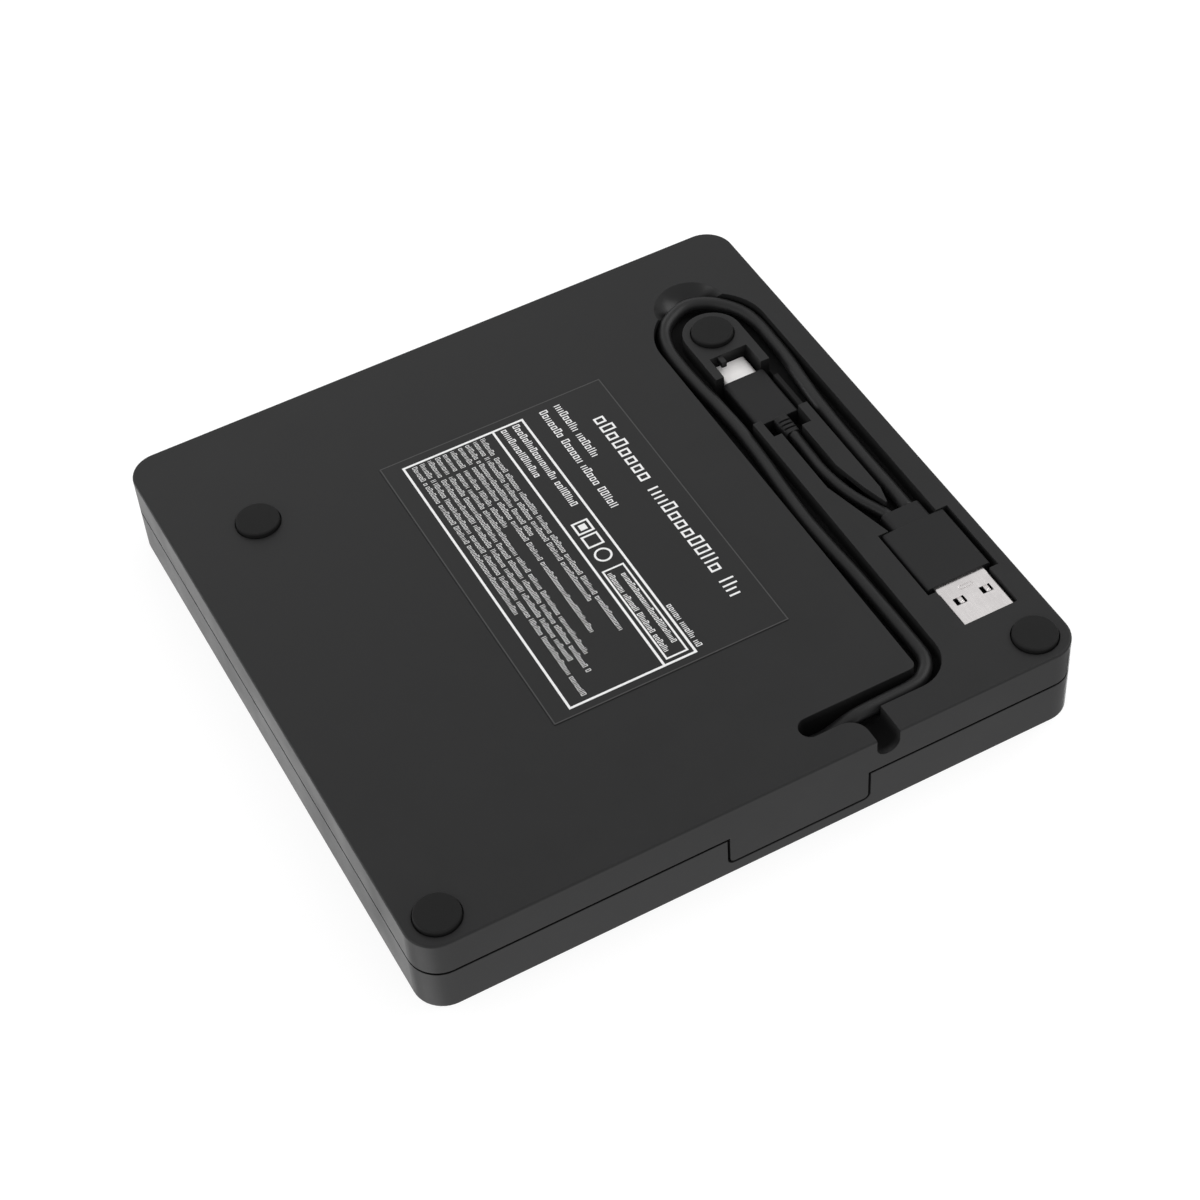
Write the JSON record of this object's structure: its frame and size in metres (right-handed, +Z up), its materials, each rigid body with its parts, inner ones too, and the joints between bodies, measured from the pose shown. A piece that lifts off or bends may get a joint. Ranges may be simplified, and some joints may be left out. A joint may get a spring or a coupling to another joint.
{
  "type": "external optical disc drive",
  "caption": "Slim square external disc drive with a slide-out tray, and a captive cord with two plug types stowed in a channel in its underside.",
  "frame": {"origin": "centre of the case's footprint, on the plane that the four feet stand on", "axes": "+Z up through the lid, -Y towards the front with the tray, +X to the right seen from the front"},
  "size_m": [0.146, 0.1456, 0.0206],
  "materials": {
    "case_plastic": "fine textured moulded plastic, charcoal",
    "foot_rubber": "smooth black rubber",
    "label_film": null,
    "screw_steel": "zinc-plated steel",
    "cord_jacket": "satin dark grey jacket",
    "wire_jacket": "thin coloured insulation",
    "plug_mould": "fine matt overmould",
    "plug_shell": "bright nickel-plated sheet",
    "plug_tongue": "white moulded plastic",
    "board_green": "green solder mask",
    "chip_black": "moulded epoxy",
    "crystal_can": "small metal can",
    "connector_black": "black connector plastic",
    "sheet_steel": "galvanised steel sheet",
    "ribbon": "amber polyimide ribbon",
    "rail_plastic": "dark sliding plastic",
    "tray_plastic": "black moulded plastic",
    "bezel_plastic": "charcoal moulded plastic",
    "button_plastic": "slightly glossy button",
    "light_pipe": "clear light pipe",
    "coil_copper": "lacquered copper winding",
    "rod_steel": "ground steel",
    "motor_can": "motor can",
    "rotor_black": "black coated rotor",
    "pad_rubber": "soft black rubber",
    "hub_plastic": "smooth black hub",
    "claw_plastic": "pale wear-resistant plastic",
    "sled_cast": "cast metal",
    "lens_glass": "coated lens",
    "latch_plastic": "natural plastic"
  },
  "bodies": {
    "case": {"top_cover": "case_plastic", "bottom_cover": "case_plastic", "foot_front_left": "foot_rubber", "foot_front_right": "foot_rubber", "foot_rear_left": "foot_rubber", "foot_rear_right": "foot_rubber", "rating_label": "label_film", "case_screws": "screw_steel", "cord_grommet": "plug_mould", "cord_wires": "wire_jacket", "usb_cord": "cord_jacket", "usb_a_overmould": "plug_mould", "usb_a_shell": "plug_shell", "usb_a_tongue": "plug_tongue", "short_lead": "cord_jacket", "usb_c_overmould": "plug_mould", "usb_c_shell": "plug_shell", "bridge_board": "board_green", "bridge_chip": "chip_black", "bridge_crystal": "crystal_can", "bridge_sata_plug": "connector_black", "drive_pan": "sheet_steel", "drive_top_plate": "sheet_steel", "drive_sata_socket": "connector_black", "rear_flex_board": "board_green", "tray_flex_cable": "ribbon", "left_rail_guide": "rail_plastic", "right_rail_guide": "rail_plastic", "tray_catch_pin": "rod_steel"},
    "tray": {"disc_tray": "tray_plastic", "tray_bezel": "bezel_plastic", "activity_light": "light_pipe", "tray_shield": "sheet_steel", "tray_board": "board_green", "drive_chip": "chip_black", "eject_switch": "connector_black", "latch_solenoid": "coil_copper", "mechanism_deck": "sheet_steel", "mechanism_cover": "tray_plastic", "deck_dampers": "pad_rubber", "spindle_stator": "coil_copper", "main_guide_rod": "rod_steel", "sub_guide_rod": "rod_steel", "sled_motor": "motor_can"},
    "left_rail": {"left_slide_rail": "rail_plastic"},
    "right_rail": {"right_slide_rail": "rail_plastic"},
    "spindle": {"turntable": "rotor_black", "turntable_pad": "pad_rubber", "clamp_hub": "hub_plastic"},
    "claw_1": {"clamp_claw_1": "claw_plastic"},
    "claw_2": {"clamp_claw_2": "claw_plastic"},
    "claw_3": {"clamp_claw_3": "claw_plastic"},
    "sled": {"optical_sled": "sled_cast"},
    "lens": {"lens_holder": "connector_black", "objective_lens": "lens_glass"},
    "screw": {"lead_screw": "rod_steel"},
    "latch": {"latch_lever": "latch_plastic"},
    "button": {"eject_button": "button_plastic"}
  },
  "joints": [
    {"name": "tray_slide", "type": "slide", "parent": "case", "child": "tray", "axis": [0, -1, 0], "range_m": [0, 0.126]},
    {"name": "left_rail_slide", "type": "slide", "parent": "case", "child": "left_rail", "axis": [0, -1, 0], "range_m": [0, 0.063]},
    {"name": "right_rail_slide", "type": "slide", "parent": "case", "child": "right_rail", "axis": [0, -1, 0], "range_m": [0, 0.063]},
    {"name": "spindle_spin", "type": "hinge", "parent": "tray", "child": "spindle", "pos_m": [0, -0.008, 0.0155], "axis": [0, 0, 1], "continuous": true},
    {"name": "sled_slide", "type": "slide", "parent": "tray", "child": "sled", "axis": [-0.7071, -0.7071, 0], "range_m": [0, 0.033]},
    {"name": "lead_screw_spin", "type": "hinge", "parent": "tray", "child": "screw", "pos_m": [0.00318, -0.03098, 0.0133], "axis": [-0.7071, -0.7071, 0], "range_deg": [0, 3960]},
    {"name": "lens_focus", "type": "slide", "parent": "sled", "child": "lens", "axis": [0, 0, 1], "range_m": [-0.0003, 0.0003], "stiffness_N_per_m": 60},
    {"name": "latch_swing", "type": "hinge", "parent": "tray", "child": "latch", "pos_m": [0.045, 0.028, 0.013], "axis": [0, 0, 1], "range_deg": [-12, 0]},
    {"name": "eject_press", "type": "slide", "parent": "tray", "child": "button", "axis": [0, 1, 0], "range_m": [0, 0.0005], "stiffness_N_per_m": 2000},
    {"name": "claw_1_press", "type": "slide", "parent": "spindle", "child": "claw_1", "axis": [-1, 0, 0], "range_m": [0, 0.0005], "stiffness_N_per_m": 300},
    {"name": "claw_2_press", "type": "slide", "parent": "spindle", "child": "claw_2", "axis": [0.5, -0.866, 0], "range_m": [0, 0.0005], "stiffness_N_per_m": 300},
    {"name": "claw_3_press", "type": "slide", "parent": "spindle", "child": "claw_3", "axis": [0.5, 0.866, 0], "range_m": [0, 0.0005], "stiffness_N_per_m": 300}
  ],
  "couplings": [
    {"joint": "left_rail_slide", "follows": "tray_slide", "ratio": 0.5},
    {"joint": "right_rail_slide", "follows": "tray_slide", "ratio": 0.5},
    {"joint": "lead_screw_spin", "follows": "sled_slide", "rad_per_m": 2094.4}
  ]
}
